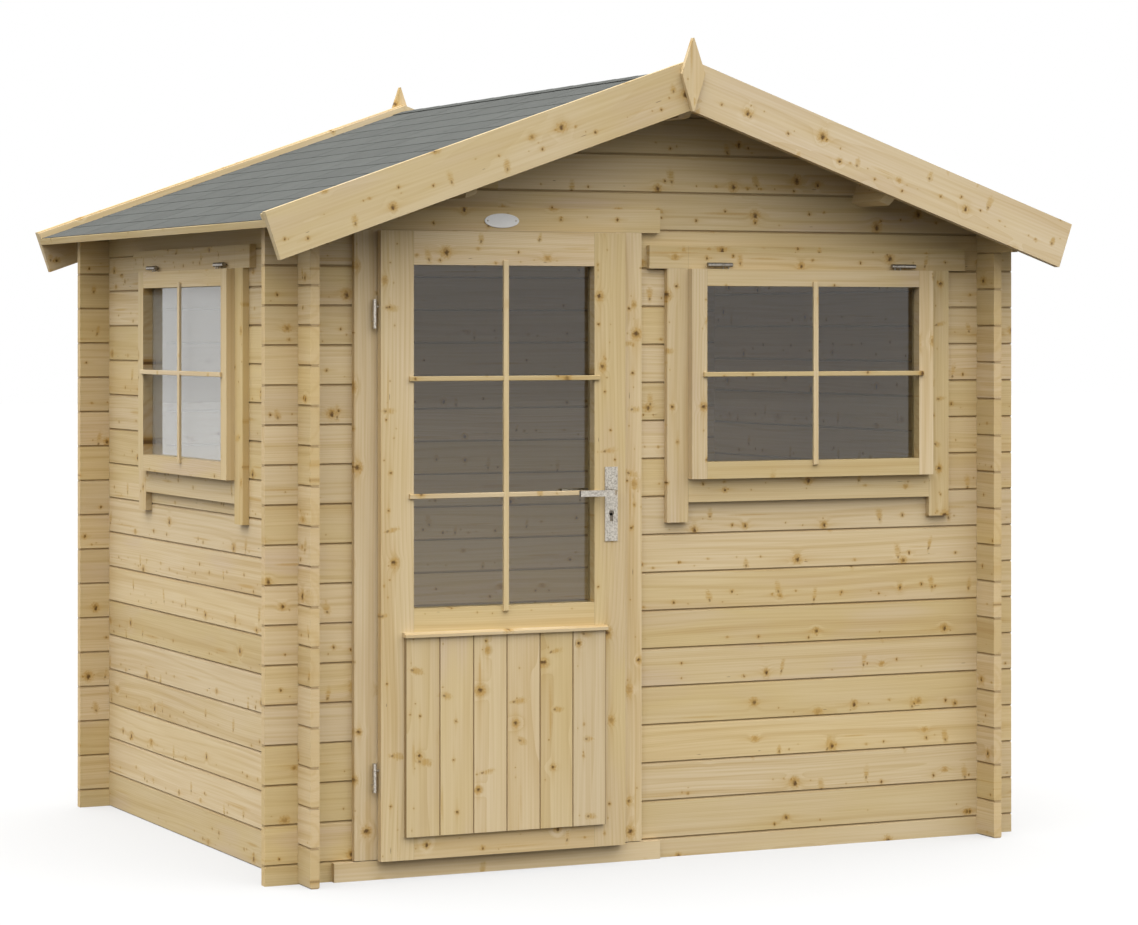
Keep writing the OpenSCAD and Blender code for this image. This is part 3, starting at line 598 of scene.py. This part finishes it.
def glazingBars(name, glassBox, face, settings, body, turned=False):
    low, high = glassBox
    across = 1 if turned else 0
    a0, a1 = low[across] + groove, high[across] - groove
    z0, z1 = low.z + groove, high.z - groove
    centre = middle(a0, a1)

    def corner(a, out, z):
        return (face - out, a, z) if turned else (a, face - out, z)

    outward = (-1, 0, 0) if turned else (0, -1, 0)
    lap = settings["lap"]
    for direction in ("upright", "level"):
        made = bmesh.new()
        if direction == "upright":
            half = settings["upright"] / 2
            spans = [(centre - half, z0 - lap, centre + half, z1 + lap)]
            proud = bars["proud"]
        else:
            half = settings["level"] / 2
            spans = [(a0 - lap, level - half, a1 + lap, level + half) for level in settings["levels"]]
            proud = bars["proud"] - bars["step"]
        for b0, c0, b1, c1 in spans:
            one, two = corner(b0, proud, c0), corner(b1, clear, c1)
            lowCorner = [min(p) for p in zip(one, two)]
            highCorner = [max(p) for p in zip(one, two)]
            addBar(made, lowCorner, highCorner, bars["chamfer"], outward)
        grain = "z" if direction == "upright" else ("y" if turned else "x")
        material = pineFinish(f"pine {name} {direction}", plain(grain, 700, 5.0), busy=bars["knots"])
        piece = addPiece(f"{name}_{direction}_bars", finishMesh(name, made), material, body)
        # the panes behind show the sky, not the bars' dark backs
        piece.visible_glossy = piece.visible_transmission = False


glazingBars("door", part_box("door_glass"), leafLow.y, doorBars, "door")
glazingBars("front_window", frontWindow["glass"], frontWindow["sash"][0].y, sashBars, "cabin")
glazingBars("side_window", sideWindow["glass"], sideWindow["sash"][0].x, sashBars, "cabin", True)
print("glazing bars planted")


# Roof shingles: courses of cut tabs with a ridge of folded caps

shingles = {
    "course": 0.112,  # length of each course that shows
    "thickness": 0.0010,
    "tab": 0.320,
    "slot": 0.006,
    "leastTab": 0.030,
    "uneven": 0.0009,  # how far the tabs' ends stray
    "cap": 0.150,  # length of each ridge cap that shows
    "capLap": 0.012,
    "capLift": 0.0008,  # of a cap's near end, which lies on the next one
    "fold": 0.010,  # half the width of a cap's bend
    "foldDrop": 0.0012,
    "colour": (0.0805, 0.0840, 0.0775),
    "light": (0.106, 0.111, 0.102),
    "dark": (0.058, 0.061, 0.057),
}


def shingleFinish():
    g = Graph("mineral shingles")
    x, y, z = g.place()
    down = abs(x) / math.cos(pitch)
    row = ((shingleEnd - down) / shingles["course"]).floor()
    shiftTab = (row * 0.5).fraction()
    tab = (y / shingles["tab"] + shiftTab).floor()
    tone = g.chances(row * 17 + tab + (x > 0) * 400)[0]
    where = g.vector(x, y, z)
    grit = g.noise(where, 1100, 1)
    patch = g.noise(where, 14, 2)
    colour = g.blend(tone * 0.45 + patch.fade(0.35, 0.7) * 0.35, shingles["colour"], shingles["light"])
    colour = g.blend(grit.fade(0.50, 0.66) * 0.8, colour, shingles["dark"])
    colour = g.blend(grit.fade(0.42, 0.34) * 0.8, colour, shingles["light"])
    return g.principled(
        {
            "Base Color": colour,
            "Roughness": 0.86 + 0.1 * grit,
            "Specular IOR Level": 0.2,
            "Normal": g.bump(grit, 0.5, 0.0008),
        }
    )


def prism(made, section, y0, y1):  # a section of X and Z points run from y0 to y1
    ends = [[made.verts.new((x, y, z)) for x, z in section] for y in (y0, y1)]
    made.faces.new(ends[0])
    made.faces.new(ends[1][::-1])
    for i in range(len(section)):
        j = (i + 1) % len(section)
        made.faces.new((ends[0][i], ends[1][i], ends[1][j], ends[0][j]))


shingleLow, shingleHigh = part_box("left_shingles")
t = shingles["thickness"]
shingleEnd = (-shingleLow.x - 2 * t * math.sin(pitch)) / math.cos(pitch)
shingleRidge = shingleLow.z + shingleEnd * math.sin(pitch)
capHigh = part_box("ridge_shingles")[1]
capReach = capHigh.x / math.cos(pitch)
capBed = (capHigh.z - shingleRidge) * math.cos(pitch) - t  # height of the caps' undersides over the roof


def onSlope(side, down, up):
    x = down * math.cos(pitch) + up * math.sin(pitch)
    return side * x, shingleRidge - down * math.sin(pitch) + up * math.cos(pitch)


def addShingles(side, name, material):
    made = bmesh.new()
    y0, y1 = shingleLow.y, shingleHigh.y
    rows = math.floor((shingleEnd - capReach) / shingles["course"])
    for row in range(rows):
        low = shingleEnd - row * shingles["course"]
        top = low - shingles["course"] - t if row < rows - 1 else 3 * clear
        bed = [(low - 0.001, clear), (low - 0.001, t), (top, t * 0.6), (top, clear)]
        prism(made, [onSlope(side, *p) for p in bed], y0, y1)
        tab = [(low, t * 0.9), (low, 2 * t), (top, t), (top, t * 0.6)]
        first = (math.floor(y0 / shingles["tab"]) + (0.5 if row % 2 else 1.0)) * shingles["tab"]
        cuts = [first + i * shingles["tab"] for i in range(math.ceil((y1 - y0) / shingles["tab"]) + 1)]
        least = shingles["leastTab"]
        cuts = [y0] + [cut for cut in cuts if y0 + least < cut < y1 - least] + [y1]
        for i, (a, b) in enumerate(zip(cuts, cuts[1:])):
            a += shingles["slot"] / 2 if i else 0
            b -= shingles["slot"] / 2 if i < len(cuts) - 2 else 0
            uneven = shingles["uneven"] * math.sin(row * 2.7 + i * 1.9)
            shifted = [(d + (uneven if d == low else 0), u) for d, u in tab]
            prism(made, [onSlope(side, *p) for p in shifted], a, b)
    addPiece(name, finishMesh(name, made), material, "cabin", [name.replace("_tabs", "")])


def addRidgeCaps(material):
    low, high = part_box("ridge_shingles")
    fold, drop = shingles["fold"], shingles["foldDrop"]
    made = bmesh.new()
    count = round((high.y - low.y) / shingles["cap"])
    step = (high.y - low.y) / count
    for i in range(count):
        y0, y1 = low.y + i * step, min(low.y + (i + 1) * step + shingles["capLap"], high.y)
        outer = []
        for y, lift in ((y0, shingles["capLift"]), (y1, 0)):
            section = []
            for up, turn in ((capBed + lift, 1), (capBed + lift + t, -1)):
                half = [onSlope(-1, capReach, up), onSlope(-1, fold, up)]
                bend = [(0, onSlope(1, 0, up)[1] - drop)]
                section += (half + bend + [(-x, z) for x, z in half[::-1]])[::turn]
            outer.append([made.verts.new((x, y, z)) for x, z in section])
        n = len(outer[0])
        for k in range(n):
            j = (k + 1) % n
            made.faces.new((outer[0][k], outer[1][k], outer[1][j], outer[0][j]))
        for ring, turn in ((outer[0], 1), (outer[1], -1)):
            for k in range(4):
                made.faces.new([ring[k], ring[k + 1], ring[8 - k], ring[9 - k]][::turn])
    addPiece("ridge_caps", finishMesh("ridge caps", made), material, "cabin", ["ridge_shingles"])


mineral = shingleFinish()
addShingles(-1, "left_shingles_tabs", mineral)
addShingles(1, "right_shingles_tabs", mineral)
addRidgeCaps(mineral)
print("shingles laid")


# Steel, glass and the plaque

steel = {"colour": (0.60, 0.56, 0.49), "tarnish": (0.24, 0.21, 0.175), "roughness": 0.34}
glass = {
    "colour": (0.95, 0.945, 0.91),
    "dim": (0.62, 0.64, 0.63),  # what it lets in of the daylight
    "haze": 0.12,  # share of the side pane's view that its film of dust hides
    "bend": 1.5,
    "sideBend": 1.7,
}
plaque = {"x": -0.5218, "z": 1.9030, "width": 0.110, "height": 0.0425, "thickness": 0.003, "rim": 0.0012}


def steelFinish(name, tone=1.0):
    g = Graph(name)
    x, y, z = g.place()
    where = g.vector(x, y, z)
    dents, specks = g.noise(where, 240, 2), g.noise(where, 750, 2)
    worn = (dents * 0.6 + specks * 0.4).fade(0.42, 0.62)
    return g.principled(
        {
            "Base Color": g.blend(
                worn * 0.75, [c * tone for c in steel["colour"]], [c * tone for c in steel["tarnish"]]
            ),
            "Metallic": 1.0,
            "Roughness": steel["roughness"] + 0.16 * worn,
            "Normal": g.bump(dents * 0.7 + specks * 0.3, 0.35, 0.0008),
        }
    )


def glassFinish(name, bend, haze=0.0):
    g = Graph(name)
    pane = g.node(
        "BsdfPrincipled",
        {},
        {
            "Base Color": (*glass["colour"], 1),
            "Roughness": 0.0,
            "IOR": bend,
            "Transmission Weight": 1.0 - haze,
        },
    )
    clear = g.node("BsdfTransparent", {}, {"Color": (*glass["dim"], 1)})
    shadow = g.node("LightPath", {}, output="Is Shadow Ray")
    diffuse = g.also(shadow, "Is Diffuse Ray")
    return g.finish(g.node("MixShader", {}, {0: shadow.larger(diffuse), 1: pane, 2: clear}))


satin = steelFinish("tumbled steel")
finish("door_hinge_pins door_hinge_knuckles lock_plates door_lever", satin)
# the window hinges get a copy of the same steel at 0.6 of its colour: painted shade
finish("window_hinges", steelFinish("steel darkened as painted shade", 0.6))
finish("door_glass front_window_glass", glassFinish("window glass", glass["bend"]))
finish("left_window_glass", glassFinish("side window glass", glass["sideBend"], glass["haze"]))


def plaqueFinish():
    g = Graph("white enamel")
    x, y, z = g.place()
    fade = g.noise(g.vector(x, y, z), 40, 2)
    return g.principled(
        {
            "Base Color": g.blend(fade.fade(0.4, 0.7) * 0.3, (0.80, 0.80, 0.79), (0.74, 0.74, 0.72)),
            "Roughness": 0.25 + 0.1 * fade,
            "Coat Weight": 0.3,
        }
    )


def addPlaque():
    made = bmesh.new()
    back = trimFront - clear
    rings = []
    steps = 64
    for inset, out in ((0, 0), (0, 1), (1, 1.35), (3, 1.35), (4, 1.1)):  # a raised rim round a flat face
        y = back - plaque["thickness"] * min(out, 1) - (plaque["rim"] * (out - 1) if out > 1 else 0)
        ring = []
        for k in range(steps):
            a = 2 * math.pi * k / steps
            rx = plaque["width"] / 2 - inset * plaque["rim"]
            rz = plaque["height"] / 2 - inset * plaque["rim"]
            ring.append(made.verts.new((plaque["x"] + rx * math.cos(a), y, plaque["z"] + rz * math.sin(a))))
        rings.append(ring)
    made.faces.new(rings[0])
    made.faces.new(rings[-1][::-1])
    for one, two in zip(rings, rings[1:]):
        for k in range(steps):
            j = (k + 1) % steps
            made.faces.new((one[k], one[j], two[j], two[k]))
    addPiece("door_plaque", finishMesh("plaque", made), plaqueFinish(), "cabin")


# radius and height of a screw's rings, as shares of its head's radius
screw = ((1.0, 0.0), (1.0, 0.10), (0.90, 0.22), (0.55, 0.34), (0.30, 0.36), (0.30, 0.16), (0.0, 0.10))


def addScrews(name, places, outward, radius, body):
    # raised heads with a cross recess, facing outward
    made = bmesh.new()
    turn = Vector(outward).to_track_quat("Z", "Y").to_matrix().to_4x4()
    for place in places:
        headToPart = Matrix.Translation(place) @ turn @ Matrix.Scale(radius, 4)
        rings = []
        for r, h in screw:
            ring = []
            for k in range(16 if r else 1):
                a = 2 * math.pi * k / 16
                reach = r * 0.55 if r == 0.30 and k % 4 else r  # the cross
                point = Vector((reach * math.cos(a), reach * math.sin(a), h))
                ring.append(made.verts.new(headToPart @ point))
            rings.append(ring)
        made.faces.new(rings[0][::-1])
        for one, two in zip(rings, rings[1:]):
            for k in range(16):
                j = (k + 1) % 16
                if len(two) == 1:
                    made.faces.new((one[k], one[j], two[0]))
                else:
                    made.faces.new((one[k], one[j], two[j], two[k]))
    addPiece(name, finishMesh(name, made), satin, body)


lockLow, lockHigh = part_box("lock_plates")
lock = {
    "x": middle(lockLow.x, lockHigh.x),
    "z": lockHigh.z - 0.137,
    "barrel": 0.0078,
    "tongue": 0.0044,  # half the width of what hangs under the barrel
    "drop": 0.0235,
    "depth": 0.0014,
    "slotHalf": (0.0011, 0.0042),
    "colour": (0.23, 0.20, 0.16),
    "worn": (0.12, 0.10, 0.08),
}


def darkSteelFinish():
    g = Graph("dark lock steel")
    x, y, z = g.place()
    halfWide, halfTall = lock["slotHalf"]
    # the key's slot: a patch painted near-black and not metallic, painted shade of the hole
    slot = (abs(x - lock["x"]) < halfWide) * (abs(z - lock["z"]) < halfTall)
    worn = g.noise(g.vector(x, y, z), 600, 2)
    colour = g.blend(worn.fade(0.4, 0.7), lock["colour"], lock["worn"])
    return g.principled(
        {
            "Base Color": g.blend(slot, colour, (0.01, 0.01, 0.01)),
            "Metallic": 1.0 - slot,
            "Roughness": 0.42 + 0.15 * worn,
        }
    )


def addLockCylinder():
    # round barrel with its tongue below, on both faces of the door; the slot for the key is only painted on
    # it, as painted shade
    made = bmesh.new()
    barrel, tongue, drop = lock["barrel"], lock["tongue"], lock["drop"]
    turns = [2 * math.pi * k / 28 for k in range(28)]
    circle = [(barrel * math.cos(a), barrel * math.sin(a)) for a in turns]
    stub = [(-tongue, -drop), (tongue, -drop), (tongue, 0), (-tongue, 0)]
    for face, out in ((leafLow.y, -1), (leafHigh.y, 1)):
        back, front = face + out * clear, face + out * lock["depth"]
        for ring in (circle, stub):
            prism(made, [(lock["x"] + u, lock["z"] + v) for u, v in ring], back, front)
    addPiece("lock_cylinder", finishMesh("lock cylinder", made), darkSteelFinish(), "door")


addLockCylinder()
addPlaque()
plaqueFace = trimFront - clear - plaque["thickness"]
screwOut = plaque["width"] / 2 - 0.010
screwPlaces = [(plaque["x"] + s * screwOut, plaqueFace, plaque["z"]) for s in (-1, 1)]
addScrews("plaque_screws", screwPlaces, (0, -1, 0), 0.0030, "cabin")
print("fittings finished")


# Floor, world and lamps

light = {
    "horizon": 0.50,  # brightness of the sky low down, which reaches in under the eaves
    "zenith": 3.60,  # and overhead
    "key": 0.25,
    "keyHeight": 35,  # degrees above the ground
    "keySide": 45,  # degrees left of square on to the front wall
    "keySize": 60,  # degrees, wide for soft shadows
    "room": 2.8,  # watts, inside
    "roomSize": (2.0, 0.2),
    "roomHeight": 0.30,
    "roomOff": 0.75,  # distance from the back wall
    "floorSize": 120,
    "floorColour": (0.50, 0.50, 0.495),
    "floorBounce": (0.04, 0.04, 0.04),
    "floorGlow": 0.60,  # share of the floor's white that shadows don't reach
    "bounces": 2,  # from one matt face to the next, which keeps the eaves dark underneath
}


def seenDirectly(g):
    path = g.node("LightPath", {})
    camera = g.also(path, "Is Camera Ray")
    return camera.larger(g.also(path, "Is Glossy Ray")).larger(g.also(path, "Is Transmission Ray"))


def addFloor():
    mesh = bpy.data.meshes.new("floor")
    half = light["floorSize"] / 2
    corners = [(-half, -half, 0), (half, -half, 0), (half, half, 0), (-half, half, 0)]
    mesh.from_pydata(corners, [], [(0, 1, 2, 3)])
    floor = bpy.data.objects.new("floor", mesh)
    floor.location.z = -0.0005  # just under the logs
    bpy.context.scene.collection.objects.link(floor)
    g = Graph("pale floor")
    colour = g.blend(seenDirectly(g), light["floorBounce"], light["floorColour"])
    lit = g.node("BsdfDiffuse", {}, {"Color": colour})
    glow = g.node("Emission", {}, {"Color": (1, 1, 1, 1), "Strength": 1.0})
    share = seenDirectly(g) * light["floorGlow"]
    mesh.materials.append(g.finish(g.node("MixShader", {}, {0: share, 1: lit, 2: glow})))


def addWorld():
    g = Graph("studio", "worlds")
    bpy.context.scene.world = g.material
    up = g.also(g.node("SeparateXYZ", {}, [g.node("TexCoord", output="Generated")]), "Z").held()
    sky = light["horizon"] + (light["zenith"] - light["horizon"]) * up
    strength = seenDirectly(g).choose(sky, 1.0)
    back = g.node("Background", {}, {"Color": (1, 1, 1, 1), "Strength": strength})
    g.finish(back, "ShaderNodeOutputWorld")


def addLamp(name, strength, height, side, size):
    data = bpy.data.lights.new(name, "SUN")
    data.energy = strength
    data.angle = math.radians(size)
    lamp = bpy.data.objects.new(name, data)
    high, turn = math.radians(height), math.radians(side)
    towards = Vector((-math.sin(turn) * math.cos(high), -math.cos(turn) * math.cos(high), math.sin(high)))
    lamp.rotation_euler = towards.to_track_quat("Z", "Y").to_euler()
    bpy.context.scene.collection.objects.link(lamp)


def addRoomLamp():
    # what the sky sends in through the panes, low down on the wall at the back
    data = bpy.data.lights.new("room", "AREA")
    data.shape = "RECTANGLE"
    data.size, data.size_y = light["roomSize"]
    data.energy = light["room"]
    lamp = bpy.data.objects.new("room", data)
    lamp.location = (0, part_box("back_wall")[0].y - light["roomOff"], light["roomHeight"])
    lamp.rotation_euler = Vector((0, -1, 0)).to_track_quat("Z", "Y").to_euler()
    lamp.visible_camera = lamp.visible_glossy = lamp.visible_transmission = False
    bpy.context.scene.collection.objects.link(lamp)


bpy.context.scene.cycles.diffuse_bounces = light["bounces"]
addFloor()
addWorld()
addLamp("key", light["key"], light["keyHeight"], light["keySide"], light["keySize"])
addRoomLamp()
print("floor and lamps placed")
